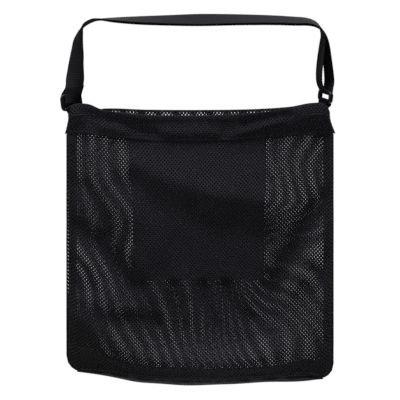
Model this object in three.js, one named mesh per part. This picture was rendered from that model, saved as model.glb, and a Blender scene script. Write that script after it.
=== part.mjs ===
// Mushroom foraging bag: a flat shoulder bag of black knitted mesh with a solid woven base, a flat
// pocket inside, and one long webbing strap that is doubled back through a ring and held by a slider.
// Units are millimetres, +Z is up and the front faces -Y. The origin is on the underside of the
// strap, in the middle of its top run, where the bag hangs.
import * as THREE from "three";

// Body
const bodyHalfWidth = 187;
const meshThickness = 1.2;
const sideEdgeDepth = 1.5;
const lensPower = 3;
const cornerRadius = 21;
const foldSidePower = 8;
const foldsFadeAtHem = { from: -165, to: -190 };
const foldsFadeAtSeam = { from: -492, to: -462 };
const foldSamples = 24;
const panelColumns = 26;
const panelRows = 20;

// Mouth hem, a folded band of the same mesh
const hemThickness = 2.4;
const hemColumns = 30;
const hemRows = 4;
const hemOverlap = 9;
const hemOverlapPower = 10;
const hemStandOff = 3.1;
const hemEndDepth = 2.2;
const hemEndPower = 60;
const hemRimShare = 0.3;

// Base, pocket and side bindings
const baseThickness = 1.0;
const baseHalfLength = 172;
const baseInset = 2.2;
const baseSeamRise = 1;
const baseFoldShare = 0.45;
const baseColumns = 24;
const baseRows = 12;
const pocketThickness = 1.0;
const pocketTop = -142;
const pocketHeight = 222;
const pocketHalfWidth = { top: 97, bottom: 90 };
const pocketCentre = { top: -3, bottom: -1 };
const pocketFullness = 8.5;
const pocketSidePower = 4;
const pocketBottomPower = 6;
const pocketSeamGap = 1.8;
const pocketGrid = 12;
const bindingThickness = 1.0;
const bindingWidth = 11;
const bindingInset = 0.8;
const bindingTop = -163;
const bindingBottom = -462;
const bindingRows = 16;

// Strap and hardware
const strapWidth = 25;
const strapThickness = 1.4;
const strapStackGap = 1.8;
const strapSlack = 0.9;
const strapSteps = 48;
const slider = {
  width: 35.5, height: 24, depth: 3.5, bar: 3.2, side: 4,
  x: -180, z: -113.5, heading: 130, dip: -9,
};
const ring = {
  width: 34, height: 19, depth: 4, bar: 4, side: 3.5,
  x: 175.6, z: -105.4, heading: 25, dip: 13,
};
const hardwareBevel = 0.7;
const hardwareCorner = 4;
const windowCorner = 1;
const wrapRadius = 3.4;
const wrapSteps = 6;
const tabWidth = strapWidth - 2;
const tabEnd = { x: 165, z: -131, heading: 10 };
const tabLegSpread = 1.1;
const tabLegSteps = 4;

// Depth of the front and back panels from the middle plane, down the bag's centre line
const bodySections = [
  { z: -145, front: 14.5, back: 15 },
  { z: -170, front: 15.5, back: 15.5 },
  { z: -215, front: 20, back: 16.5 },
  { z: -262, front: 21.5, back: 17.5 },
  { z: -308, front: 18.5, back: 18 },
  { z: -360, front: 18, back: 19 },
  { z: -420, front: 21, back: 20 },
  { z: -462, front: 22.5, back: 19 },
  { z: -490, front: 18, back: 15.5 },
  { z: -505, front: 14, back: 12.5 },
];

// Rim, depth and stitch line of each hem, across the mouth from its left end to its right end
const frontMouthSections = [
  { across: 0.0, rim: -122, depth: 11, stitch: -158 },
  { across: 0.03, rim: -119.5, depth: 10.8, stitch: -158 },
  { across: 0.08, rim: -119.5, depth: 8.6, stitch: -159 },
  { across: 0.14, rim: -126, depth: 10, stitch: -162 },
  { across: 0.3, rim: -132.5, depth: 13, stitch: -167.5 },
  { across: 0.5, rim: -133.5, depth: 14.5, stitch: -169.5 },
  { across: 0.7, rim: -130.5, depth: 14.5, stitch: -165.5 },
  { across: 0.85, rim: -123.5, depth: 14.5, stitch: -160 },
  { across: 0.94, rim: -116, depth: 16, stitch: -157.5 },
  { across: 0.985, rim: -119, depth: 15.5, stitch: -157.5 },
  { across: 1.0, rim: -128, depth: 3, stitch: -157.5 },
];
const backMouthSections = [
  { across: 0.0, rim: -130, depth: 2.4, stitch: -158 },
  { across: 0.03, rim: -130, depth: 4.5, stitch: -158 },
  { across: 0.08, rim: -127, depth: 6, stitch: -158.5 },
  { across: 0.14, rim: -120.5, depth: 11, stitch: -159.5 },
  { across: 0.3, rim: -123.6, depth: 15, stitch: -161.5 },
  { across: 0.5, rim: -124, depth: 15, stitch: -161.5 },
  { across: 0.7, rim: -123, depth: 15, stitch: -160.5 },
  { across: 0.85, rim: -119.5, depth: 15, stitch: -158.5 },
  { across: 0.94, rim: -114, depth: 16, stitch: -157.5 },
  { across: 0.985, rim: -118, depth: 15.5, stitch: -157.5 },
  { across: 1.0, rim: -128, depth: 3, stitch: -157.5 },
];

// Ends of the hem down its height: drawn in under the strap, flared at the stitched edge
const hemEnds = [
  { down: 0, left: -185, right: 181.5 },
  { down: 0.35, left: -184, right: 182.5 },
  { down: 0.7, left: -186.2, right: 186 },
  { down: 1, left: -189, right: 189.5 },
];

// Bottom seam and the fold of the base that hangs below it
const bottomSections = [
  { x: -187, seam: -489, fold: -489.6 },
  { x: -168, seam: -489.8, fold: -490.8 },
  { x: -122, seam: -491.8, fold: -498.5 },
  { x: -76, seam: -498, fold: -506.2 },
  { x: 0, seam: -500.5, fold: -509.6 },
  { x: 76, seam: -499.2, fold: -506 },
  { x: 146, seam: -494.8, fold: -503.6 },
  { x: 170, seam: -499.5, fold: -501.5 },
  { x: 187, seam: -500.5, fold: -501.5 },
];

// Edge of the base turned up inside the mesh: its height above the bottom seam
const flangeSections = [
  { x: -172, height: 34 },
  { x: -145, height: 27 },
  { x: -110, height: 16 },
  { x: 0, height: 12 },
  { x: 110, height: 13 },
  { x: 145, height: 19 },
  { x: 172, height: 24 },
];

// Folds in the two panels: a bowed line from start to end, how far it pushes the cloth out
// (inwards where negative) and how far to each side it reaches
const frontFolds = [
  { startX: 184, startZ: -234, midX: 140, midZ: -281, endX: 95, endZ: -364, rise: -5, reach: 17 },
  { startX: 184, startZ: -272, midX: 152, midZ: -322, endX: 118, endZ: -392, rise: 4, reach: 18 },
  { startX: -184, startZ: -284, midX: -143, midZ: -310, endX: -92, endZ: -366, rise: -5, reach: 16 },
  { startX: -184, startZ: -312, midX: -150, midZ: -348, endX: -114, endZ: -398, rise: 4, reach: 17 },
  { startX: -182, startZ: -224, midX: -150, midZ: -245, endX: -126, endZ: -296, rise: -3.5, reach: 15 },
  { startX: -95, startZ: -214, midX: -20, midZ: -254, endX: 88, endZ: -268, rise: -3.5, reach: 17 },
  { startX: -84, startZ: -190, midX: -8, midZ: -222, endX: 88, endZ: -236, rise: 3, reach: 18 },
  { startX: -175, startZ: -391, midX: -140, midZ: -434, endX: -70, endZ: -474, rise: 3, reach: 16 },
  { startX: -52, startZ: -372, midX: -57, midZ: -398, endX: -48, endZ: -424, rise: -2.5, reach: 11 },
  { startX: 18, startZ: -374, midX: 30, midZ: -402, endX: 54, endZ: -426, rise: -2.5, reach: 12 },
  { startX: 175, startZ: -391, midX: 140, midZ: -440, endX: 86, endZ: -464, rise: 3, reach: 16 },
];
const backFolds = [
  { startX: 184, startZ: -210, midX: 150, midZ: -265, endX: 122, endZ: -330, rise: -3.5, reach: 18 },
  { startX: -184, startZ: -250, midX: -120, midZ: -330, endX: -60, endZ: -410, rise: 4, reach: 18 },
  { startX: -178, startZ: -330, midX: -120, midZ: -400, endX: -40, endZ: -452, rise: -3.5, reach: 17 },
  { startX: 180, startZ: -320, midX: 130, midZ: -400, endX: 60, endZ: -455, rise: 4, reach: 18 },
];

// Route of the doubled strap from the slider over the top to the ring. Heading is the turn of the
// webbing's near edge from the front towards the right, dip is how far that edge hangs down, and
// gap is the distance between the two layers
const strapStations = [
  { x: -175.8, z: -93, heading: 106, dip: -4, gap: 7.6 },
  { x: -175, z: -82, heading: 84, dip: 0, gap: 4.5 },
  { x: -174.3, z: -71.4, heading: 68, dip: 0, gap: 2.4 },
  { x: -173.6, z: -60.2, heading: 57, dip: 0, gap: strapStackGap },
  { x: -172.4, z: -49, heading: 49, dip: 0, gap: strapStackGap },
  { x: -171.6, z: -37.8, heading: 39, dip: 0, gap: strapStackGap },
  { x: -170.6, z: -26.6, heading: 31, dip: 0, gap: strapStackGap },
  { x: -168.4, z: -17.6, heading: 20, dip: 0, gap: strapStackGap },
  { x: -166.2, z: -11.6, heading: 11, dip: 0, gap: strapStackGap },
  { x: -161.4, z: -5, heading: 4, dip: 0, gap: strapStackGap },
  { x: -150, z: 1, heading: 0, dip: 1, gap: strapStackGap },
  { x: -138, z: 2.4, heading: 0, dip: 3, gap: strapStackGap },
  { x: -118, z: 1.8, heading: 0, dip: 10, gap: strapStackGap },
  { x: -84, z: 1.3, heading: 0, dip: 21, gap: strapStackGap },
  { x: -42, z: 1.6, heading: 0, dip: 30, gap: strapStackGap },
  { x: 0, z: 1.95, heading: 0, dip: 34, gap: strapStackGap },
  { x: 52, z: 1.7, heading: 0, dip: 30, gap: strapStackGap },
  { x: 98, z: 1, heading: 0, dip: 23, gap: strapStackGap },
  { x: 132, z: -0.6, heading: 0, dip: 21, gap: strapStackGap },
  { x: 150, z: -2, heading: 0, dip: 15, gap: strapStackGap },
  { x: 162, z: -5.8, heading: 0, dip: 10, gap: strapStackGap },
  { x: 169.5, z: -12, heading: 3, dip: 9, gap: strapStackGap },
  { x: 173.4, z: -21, heading: 8, dip: 10, gap: 2.4 },
  { x: 174, z: -32.2, heading: 14, dip: 12, gap: 5 },
  { x: 174.2, z: -51.8, heading: 21, dip: 13, gap: 11.6 },
  { x: 174.3, z: -70, heading: 24, dip: 13, gap: 15 },
  { x: 174.6, z: -83, heading: 25, dip: 13, gap: 14 },
  { x: 175, z: -91, heading: 25, dip: 13, gap: 9.5 },
];

// The strap's sewn end in the left hem corner, from its raw edge up
const strapEndStations = [
  { x: -170, z: -137, heading: 91, dip: 0 },
  { x: -171, z: -131, heading: 95, dip: -2 },
];

// Its way through the slider, as distances in front of the slider's middle and above it
const sliderThreading = [
  { forward: 3.3, height: -10.6 },
  { forward: 2.8, height: -8 },
  { forward: 0, height: -6.4 },
  { forward: -3.3, height: -5 },
  { forward: -5.2, height: -1.5 },
  { forward: -5.2, height: 4 },
  { forward: -5.1, height: 10.4 },
];
const sliderTail = [
  { forward: -wrapRadius, height: 6 },
  { forward: -wrapRadius, height: 11.9 },
];

const clothBlack = new THREE.MeshStandardMaterial({ color: 0x1b1c20, roughness: 0.85, metalness: 0 });
const nylonBlack = new THREE.MeshStandardMaterial({ color: 0x17181c, roughness: 0.7, metalness: 0 });
const webbingBlack = new THREE.MeshStandardMaterial({ color: 0x26262a, roughness: 0.8, metalness: 0 });
const plasticBlack = new THREE.MeshStandardMaterial({ color: 0x101113, roughness: 0.45, metalness: 0 });

const up = new THREE.Vector3(0, 0, 1);
const mix = THREE.MathUtils.lerp;
const easing = THREE.MathUtils.smoothstep;

// A smooth curve through one column of a table, read against another column of it.
function curveThrough(rows, at, column) {
  const places = rows.map((row) => row[at]);
  const values = rows.map((row) => row[column]);
  const last = rows.length - 1;
  const slopeAt = (i) => {
    const before = Math.max(i - 1, 0);
    const after = Math.min(i + 1, last);
    return (values[after] - values[before]) / (places[after] - places[before]);
  };
  const rising = places[last] > places[0];
  return (place) => {
    let i = 0;
    while (i < last - 1 && (rising ? place > places[i + 1] : place < places[i + 1])) i += 1;
    const span = places[i + 1] - places[i];
    const t = THREE.MathUtils.clamp((place - places[i]) / span, 0, 1);
    const t2 = t * t;
    const t3 = t2 * t;
    const fromStart = (2 * t3 - 3 * t2 + 1) * values[i] + (t3 - 2 * t2 + t) * span * slopeAt(i);
    const fromEnd = (3 * t2 - 2 * t3) * values[i + 1] + (t3 - t2) * span * slopeAt(i + 1);
    return fromStart + fromEnd;
  };
}

const seamAt = curveThrough(bottomSections, "x", "seam");
const baseFoldAt = curveThrough(bottomSections, "x", "fold");
const flangeAt = curveThrough(flangeSections, "x", "height");
const hemLeftAt = curveThrough(hemEnds, "down", "left");
const hemRightAt = curveThrough(hemEnds, "down", "right");

// One face of the bag. Outward is the way it faces along Y.
function bagFace(outward, side, mouthSections, folds) {
  return {
    outward,
    folds,
    depthAt: curveThrough(bodySections, "z", side),
    rimAt: curveThrough(mouthSections, "across", "rim"),
    mouthDepthAt: curveThrough(mouthSections, "across", "depth"),
    stitchAt: curveThrough(mouthSections, "across", "stitch"),
  };
}

const front = bagFace(-1, "front", frontMouthSections, frontFolds);
const back = bagFace(1, "back", backMouthSections, backFolds);

function geometryFrom(points, faces) {
  const geometry = new THREE.BufferGeometry();
  geometry.setAttribute("position", new THREE.Float32BufferAttribute(points.flatMap((p) => p.toArray()), 3));
  geometry.setIndex(faces.flat());
  geometry.computeVertexNormals();
  return geometry;
}

// A closed wall of even thickness on both sides of a surface given by a function of two
// parameters from 0 to 1.
function wallGeometry(surface, columns, rows, thickness, spread = (u) => u) {
  const nudge = 1e-3;
  const outer = [];
  const inner = [];
  for (let j = 0; j <= rows; j += 1) {
    for (let i = 0; i <= columns; i += 1) {
      const u = spread(i / columns);
      const v = j / rows;
      const alongU = surface(Math.min(u + nudge, 1), v).sub(surface(Math.max(u - nudge, 0), v));
      const alongV = surface(u, Math.min(v + nudge, 1)).sub(surface(u, Math.max(v - nudge, 0)));
      const offset = alongU.cross(alongV).setLength(thickness / 2);
      const middle = surface(u, v);
      outer.push(middle.clone().add(offset));
      inner.push(middle.sub(offset));
    }
  }
  const innerStart = outer.length;
  const at = (i, j) => j * (columns + 1) + i;
  const faces = [];
  const rim = (from, to) => {
    faces.push([to, from, innerStart + from], [to, innerStart + from, innerStart + to]);
  };
  for (let j = 0; j < rows; j += 1) {
    for (let i = 0; i < columns; i += 1) {
      const [a, b, c, d] = [at(i, j), at(i + 1, j), at(i + 1, j + 1), at(i, j + 1)];
      faces.push([a, b, c], [a, c, d]);
      faces.push([innerStart + c, innerStart + b, innerStart + a]);
      faces.push([innerStart + d, innerStart + c, innerStart + a]);
    }
  }
  for (let i = 0; i < columns; i += 1) {
    rim(at(i, 0), at(i + 1, 0));
    rim(at(i + 1, rows), at(i, rows));
  }
  for (let j = 0; j < rows; j += 1) {
    rim(at(columns, j), at(columns, j + 1));
    rim(at(0, j + 1), at(0, j));
  }
  return geometryFrom([...outer, ...inner], faces);
}

// A flat band of webbing carried along stations, each a place and the direction of its near edge.
function webbingGeometry(stations, width, thickness) {
  const points = [];
  const faces = [];
  stations.forEach(({ place, near }, k) => {
    const before = stations[Math.max(k - 1, 0)].place;
    const after = stations[Math.min(k + 1, stations.length - 1)].place;
    const along = after.clone().sub(before);
    const normal = near.clone().cross(along).setLength(thickness / 2);
    const side = near.clone().setLength(width / 2);
    points.push(place.clone().sub(side).add(normal));
    points.push(place.clone().add(side).add(normal));
    points.push(place.clone().add(side).sub(normal));
    points.push(place.clone().sub(side).sub(normal));
  });
  for (let k = 0; k < stations.length - 1; k += 1) {
    const [here, next] = [4 * k, 4 * (k + 1)];
    for (let c = 0; c < 4; c += 1) {
      const d = (c + 1) % 4;
      // the two faces are split along the same diagonal, so a twist keeps the webbing's thickness
      if (c === 2) faces.push([here + c, here + d, next + c], [here + d, next + d, next + c]);
      else faces.push([here + c, here + d, next + d], [here + c, next + d, next + c]);
    }
  }
  const end = points.length - 4;
  faces.push([0, 2, 1], [0, 3, 2], [end, end + 1, end + 2], [end, end + 2, end + 3]);
  return geometryFrom(points, faces);
}

// Distance from a place on a panel to a fold's bowed line.
function distanceToFold(fold, x, z) {
  const start = new THREE.Vector2(fold.startX, fold.startZ);
  const middle = new THREE.Vector2(fold.midX, fold.midZ);
  const end = new THREE.Vector2(fold.endX, fold.endZ);
  const control = middle.multiplyScalar(2).sub(start.clone().add(end).divideScalar(2));
  const bow = new THREE.QuadraticBezierCurve(start, control, end);
  const place = new THREE.Vector2(x, z);
  return Math.min(...bow.getPoints(foldSamples).map((point) => point.distanceTo(place)));
}

function foldRise(folds, x, z) {
  return folds.reduce((sum, fold) => {
    const reach = distanceToFold(fold, x, z) / fold.reach;
    return sum + fold.rise * Math.exp(-reach * reach);
  }, 0);
}

// How far a panel stands from the middle plane: a lens across the bag that closes at the side
// seams, deeper and shallower down the bag, with the folds fading out at the edges.
function panelDepth(face, x, z) {
  const across = Math.min(Math.abs(x) / bodyHalfWidth, 1);
  const lens = 1 - across ** lensPower;
  const belowHem = 1 - easing(z, foldsFadeAtHem.to, foldsFadeAtHem.from);
  const aboveSeam = easing(z, foldsFadeAtSeam.from, foldsFadeAtSeam.to);
  const free = (1 - across ** foldSidePower) * belowHem * aboveSeam;
  return sideEdgeDepth + (face.depthAt(z) - sideEdgeDepth) * lens + foldRise(face.folds, x, z) * free;
}

// The bottom edge of a panel, with its rounded corners.
function bottomEdge(x) {
  const past = Math.max(Math.abs(x) - (bodyHalfWidth - cornerRadius), 0);
  return seamAt(x) + cornerRadius - Math.sqrt(cornerRadius ** 2 - Math.min(past, cornerRadius) ** 2);
}

// Closer columns towards the side seams, where the corners are round.
function towardsEnds(u) {
  const even = 2 * u - 1;
  const crowded = Math.sin((Math.PI / 2) * even);
  return 0.5 + 0.5 * mix(even, crowded, 0.5);
}

function meshPanel(face) {
  const surface = (u, v) => {
    const x = bodyHalfWidth * (2 * u - 1);
    const across = Math.abs(x) / bodyHalfWidth;
    const top = face.stitchAt(u) + mix(hemOverlap, -1, across ** hemOverlapPower);
    const z = mix(top, bottomEdge(x), v);
    return new THREE.Vector3(x, face.outward * panelDepth(face, x, z), z);
  };
  return wallGeometry(surface, panelColumns, panelRows, meshThickness, towardsEnds);
}

// The hem stands off the panel that it is sewn to, and follows the mouth at its rim.
function hemBand(face) {
  const crowded = (u) => 0.5 - 0.5 * Math.cos(Math.PI * u);
  const surface = (u, v) => {
    const x = mix(hemLeftAt(v), hemRightAt(v), u);
    const z = mix(face.rimAt(u), face.stitchAt(u), v);
    const closing = 1 - Math.abs(2 * u - 1) ** hemEndPower;
    const sewn = mix(hemEndDepth, panelDepth(face, x, face.stitchAt(u)) + hemStandOff, closing);
    const depth = mix(face.mouthDepthAt(u), sewn, easing(v, hemRimShare, 1));
    return new THREE.Vector3(x, face.outward * depth, z);
  };
  return wallGeometry(surface, hemColumns, hemRows, hemThickness, crowded);
}

// The base is a trough: its front and back edges are turned up inside the mesh, and its middle
// hangs below the bottom seam as a flattened fold.
function basePanel() {
  const surface = (u, v) => {
    const x = baseHalfLength * (2 * u - 1);
    const seam = bottomEdge(x) + baseSeamRise;
    const side = v < 0.5 ? front : back;
    const outwards = Math.abs(2 * v - 1);
    const inFold = Math.min(outwards / baseFoldShare, 1);
    const inFlange = Math.max(outwards - baseFoldShare, 0) / (1 - baseFoldShare);
    const z = mix(baseFoldAt(x), seam, inFold ** 2) + inFlange * flangeAt(x);
    const wide = panelDepth(side, x, Math.max(z, seam)) - baseInset;
    return new THREE.Vector3(x, side.outward * wide * inFold, z);
  };
  return wallGeometry(surface, baseColumns, baseRows, baseThickness);
}

// The pocket is a patch sewn to the inside of the back panel along its sides and bottom.
function innerPocket() {
  const surface = (u, v) => {
    const half = mix(pocketHalfWidth.top, pocketHalfWidth.bottom, v);
    const x = mix(pocketCentre.top, pocketCentre.bottom, v) + half * (2 * u - 1);
    const z = pocketTop - pocketHeight * v;
    const full = (1 - Math.abs(2 * u - 1) ** pocketSidePower) * (1 - v ** pocketBottomPower);
    const y = panelDepth(back, x, z) - pocketSeamGap - pocketFullness * full;
    return new THREE.Vector3(x, y, z);
  };
  return wallGeometry(surface, pocketGrid, pocketGrid, pocketThickness);
}

// A strip bound over the raw edges inside a side seam.
function sideBinding(side) {
  const surface = (u, v) => {
    const x = side * (bodyHalfWidth - bindingInset - bindingWidth * u);
    return new THREE.Vector3(x, 0, mix(bindingTop, bindingBottom, v));
  };
  return wallGeometry(surface, 2, bindingRows, bindingThickness);
}

// The direction of the webbing's near edge.
function nearEdge(heading, dip) {
  const turn = THREE.MathUtils.degToRad(heading);
  const drop = THREE.MathUtils.degToRad(dip);
  return new THREE.Vector3(
    Math.sin(turn) * Math.cos(drop),
    -Math.cos(turn) * Math.cos(drop),
    -Math.sin(drop),
  );
}

// Axes of a ring or slider: across its width, up its height, and out of its front.
function hardwareFrame({ x, z, heading, dip }) {
  const across = nearEdge(heading, dip);
  const out = across.clone().cross(up).normalize();
  const upward = out.clone().cross(across);
  const matrix = new THREE.Matrix4().makeBasis(across, upward, out).setPosition(x, 0, z);
  const station = (forward, height, shift = 0) => ({
    place: new THREE.Vector3(shift, height, forward).applyMatrix4(matrix),
    near: across.clone(),
  });
  return { matrix, station };
}

function roundedRectangle(path, width, height, radius, centreY = 0) {
  const [x, y] = [width / 2, height / 2];
  path.moveTo(-x + radius, centreY - y);
  path.lineTo(x - radius, centreY - y);
  path.absarc(x - radius, centreY - y + radius, radius, -Math.PI / 2, 0);
  path.lineTo(x, centreY + y - radius);
  path.absarc(x - radius, centreY + y - radius, radius, 0, Math.PI / 2);
  path.lineTo(-x + radius, centreY + y);
  path.absarc(-x + radius, centreY + y - radius, radius, Math.PI / 2, Math.PI);
  path.lineTo(-x, centreY - y + radius);
  path.absarc(-x + radius, centreY - y + radius, radius, Math.PI, Math.PI * 1.5);
  return path;
}

// A moulded frame with one window for each gap between its bars.
function hardwareGeometry(piece, barHeights) {
  const inset = hardwareBevel;
  const outline = roundedRectangle(
    new THREE.Shape(), piece.width - 2 * inset, piece.height - 2 * inset, hardwareCorner - inset,
  );
  for (let k = 0; k < barHeights.length - 1; k += 1) {
    const low = barHeights[k] + piece.bar / 2 - inset;
    const high = barHeights[k + 1] - piece.bar / 2 + inset;
    const wide = piece.width - 2 * piece.side + 2 * inset;
    const window = roundedRectangle(new THREE.Path(), wide, high - low, windowCorner, (low + high) / 2);
    outline.holes.push(window);
  }
  const geometry = new THREE.ExtrudeGeometry(outline, {
    depth: piece.depth - 2 * inset,
    bevelEnabled: true,
    bevelThickness: inset,
    bevelSize: inset,
    bevelSegments: 1,
    curveSegments: 3,
  });
  return geometry.translate(0, 0, -piece.depth / 2 + inset);
}

const sliderFrame = hardwareFrame(slider);
const ringFrame = hardwareFrame(ring);
const sliderBar = slider.height / 2 - slider.bar / 2;
const ringBar = ring.height / 2 - ring.bar / 2;

// Both layers of the strap between the slider and the ring, from left to right.
function strapLayers() {
  const rows = strapStations.map((row, order) => ({ ...row, order }));
  const read = (column) => curveThrough(rows, "order", column);
  const [xAt, zAt, headingAt, dipAt, gapAt] = ["x", "z", "heading", "dip", "gap"].map(read);
  const middleAt = (order) => new THREE.Vector3(xAt(order), 0, zAt(order));
  const last = rows.length - 1;
  const inner = [];
  const outer = [];
  for (let k = 0; k <= strapSteps; k += 1) {
    const order = (last * k) / strapSteps;
    const near = nearEdge(headingAt(order), dipAt(order));
    const ahead = middleAt(Math.min(order + 0.05, last));
    const along = ahead.sub(middleAt(Math.max(order - 0.05, 0)));
    const apart = near.clone().cross(along).setLength(gapAt(order) / 2);
    inner.push({ place: middleAt(order).sub(apart), near });
    outer.push({ place: middleAt(order).add(apart), near });
  }
  return { inner, outer };
}

// Half a turn of webbing round a bar, from the front of the bar to its back.
function halfTurn(frame, barHeight, above, shift = 0) {
  return Array.from({ length: wrapSteps + 1 }, (_, k) => {
    const angle = (Math.PI * k) / wrapSteps;
    const height = (above ? 1 : -1) * wrapRadius * Math.sin(angle);
    return frame.station(wrapRadius * Math.cos(angle), barHeight + height, shift);
  });
}

// One length of webbing: from its end sewn into the hem, in front of the slider's lowest bar and
// behind the others, over to the ring, round the ring's top bar, and back to a loop that is sewn
// round the slider's middle bar.
function strap() {
  const inSlider = ({ forward, height }) => sliderFrame.station(forward, height, strapSlack);
  const { inner, outer } = strapLayers();
  const sewnEnd = strapEndStations.map(({ x, z, heading, dip }) => ({
    place: new THREE.Vector3(x, 0, z),
    near: nearEdge(heading, dip),
  }));
  const stations = [
    ...sewnEnd,
    ...sliderThreading.map(inSlider),
    ...inner,
    ...halfTurn(ringFrame, ringBar, false),
    ...outer.reverse(),
    inSlider({ forward: wrapRadius, height: sliderBar }),
    ...halfTurn(sliderFrame, 0, false, strapSlack),
    ...sliderTail.map(inSlider),
  ];
  return webbingGeometry(stations, strapWidth, strapThickness);
}

// A short loop of webbing that holds the ring, with both ends sewn into the hem.
function ringTab() {
  const near = nearEdge(tabEnd.heading, 0);
  const leg = (side) => {
    const sewn = new THREE.Vector3(tabEnd.x + side * tabLegSpread, 0, tabEnd.z);
    const hung = ringFrame.station(-side * wrapRadius, -ringBar - ring.bar);
    return Array.from({ length: tabLegSteps + 1 }, (_, k) => ({
      place: sewn.clone().lerp(hung.place, k / tabLegSteps),
      near: near.clone().lerp(hung.near, k / tabLegSteps).normalize(),
    }));
  };
  const loop = halfTurn(ringFrame, -ringBar, true);
  return webbingGeometry([...leg(-1), ...loop, ...leg(1).reverse()], tabWidth, strapThickness);
}

function piece(name, geometry, material) {
  const mesh = new THREE.Mesh(geometry, material);
  mesh.name = name;
  return mesh;
}

function placed(mesh, { matrix }) {
  mesh.applyMatrix4(matrix);
  return mesh;
}

const bag = new THREE.Group();
bag.add(
  piece("front_panel", meshPanel(front), clothBlack),
  piece("back_panel", meshPanel(back), clothBlack),
  piece("front_hem", hemBand(front), clothBlack),
  piece("back_hem", hemBand(back), clothBlack),
  piece("base_panel", basePanel(), nylonBlack),
  piece("inner_pocket", innerPocket(), nylonBlack),
  piece("left_binding", sideBinding(-1), nylonBlack),
  piece("right_binding", sideBinding(1), nylonBlack),
  piece("strap", strap(), webbingBlack),
  piece("ring_tab", ringTab(), webbingBlack),
  placed(piece("slider", hardwareGeometry(slider, [-sliderBar, 0, sliderBar]), plasticBlack), sliderFrame),
  placed(piece("ring", hardwareGeometry(ring, [-ringBar, ringBar]), plasticBlack), ringFrame),
);

export default bag;
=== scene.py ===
import bpy
import numpy as np
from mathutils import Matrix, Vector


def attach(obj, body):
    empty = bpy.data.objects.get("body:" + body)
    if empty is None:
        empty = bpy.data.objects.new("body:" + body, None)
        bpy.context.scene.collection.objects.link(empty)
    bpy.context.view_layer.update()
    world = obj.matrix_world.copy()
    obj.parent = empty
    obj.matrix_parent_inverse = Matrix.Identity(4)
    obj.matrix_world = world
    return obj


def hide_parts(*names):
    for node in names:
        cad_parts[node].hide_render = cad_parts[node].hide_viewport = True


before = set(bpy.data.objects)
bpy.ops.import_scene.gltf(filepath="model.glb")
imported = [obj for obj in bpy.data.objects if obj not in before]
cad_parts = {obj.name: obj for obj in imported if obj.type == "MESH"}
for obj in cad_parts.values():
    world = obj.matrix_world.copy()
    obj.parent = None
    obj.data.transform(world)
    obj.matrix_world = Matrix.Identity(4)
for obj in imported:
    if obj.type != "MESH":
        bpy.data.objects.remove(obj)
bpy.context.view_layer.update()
mm = 0.001
print("frame:", len(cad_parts), "nodes")


# Small helpers

def linearColour(hexText):  # sRGB hex to linear red, green, blue, alpha
    srgb = np.array([int(hexText[k:k + 2], 16) for k in (1, 3, 5)]) / 255
    linear = np.where(srgb <= 0.04045, srgb / 12.92, ((srgb + 0.055) / 1.055) ** 2.4)
    return (*linear.tolist(), 1.0)


def setInputs(tree, node, inputs):  # a node's socket values and links
    for name, value in inputs.items():
        if isinstance(value, bpy.types.NodeSocket):
            tree.links.new(value, node.inputs[name])
        else:
            node.inputs[name].default_value = value


def addNode(tree, kind, inputs=None, **settings):  # one node, with its settings, socket values and links
    node = tree.nodes.new("ShaderNode" + kind)
    for name, value in settings.items():
        setattr(node, name, value)
    setInputs(tree, node, inputs or {})
    return node


def mix(a, b, t):
    return a + (b - a) * t


def easing(t, start, end):  # 0 before start, 1 after end, smooth between
    t = np.clip((t - start) / (end - start), 0, 1)
    return t * t * (3 - 2 * t)


def stacked(*columns):  # arrays side by side along a new last axis
    return np.stack(columns, axis=-1)


def unit(vectors):
    return vectors / np.maximum(np.linalg.norm(vectors, axis=-1, keepdims=True), 1e-9)


def pathLengths(path):  # how far along a path each of its points lies
    return np.concatenate([[0], np.cumsum(np.linalg.norm(np.diff(path, axis=0), axis=1))])


def flattened(wave, power):  # a sine or cosine with flatter tops, for outlines with round corners
    return np.sign(wave) * np.abs(wave) ** power


def curveThrough(places, values, at):
    # cubic curve through the rows of a table; each row's slope is the line between its two neighbours
    places, values, at = (np.asarray(a, float) for a in (places, values, at))
    if places[0] > places[-1]:
        places, values = places[::-1], values[::-1]
    before = np.maximum(np.arange(len(places)) - 1, 0)
    after = np.minimum(np.arange(len(places)) + 1, len(places) - 1)
    slopes = (values[after] - values[before]) / (places[after] - places[before])
    i = np.clip(np.searchsorted(places, at, side="right") - 1, 0, len(places) - 2)
    span = places[i + 1] - places[i]
    t = np.clip((at - places[i]) / span, 0, 1)
    fromStart = (2 * t**3 - 3 * t**2 + 1) * values[i] + (t**3 - 2 * t**2 + t) * span * slopes[i]
    fromEnd = (3 * t**2 - 2 * t**3) * values[i + 1] + (t**3 - t**2) * span * slopes[i + 1]
    return fromStart + fromEnd


def surfaceFrame(surface, u, v):
    # the surface's points and its unit normals, from the cross product of two small steps
    step = 1e-3
    alongU = surface(np.minimum(u + step, 1), v) - surface(np.maximum(u - step, 0), v)
    alongV = surface(u, np.minimum(v + step, 1)) - surface(u, np.maximum(v - step, 0))
    return surface(u, v), unit(np.cross(alongU, alongV))


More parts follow.
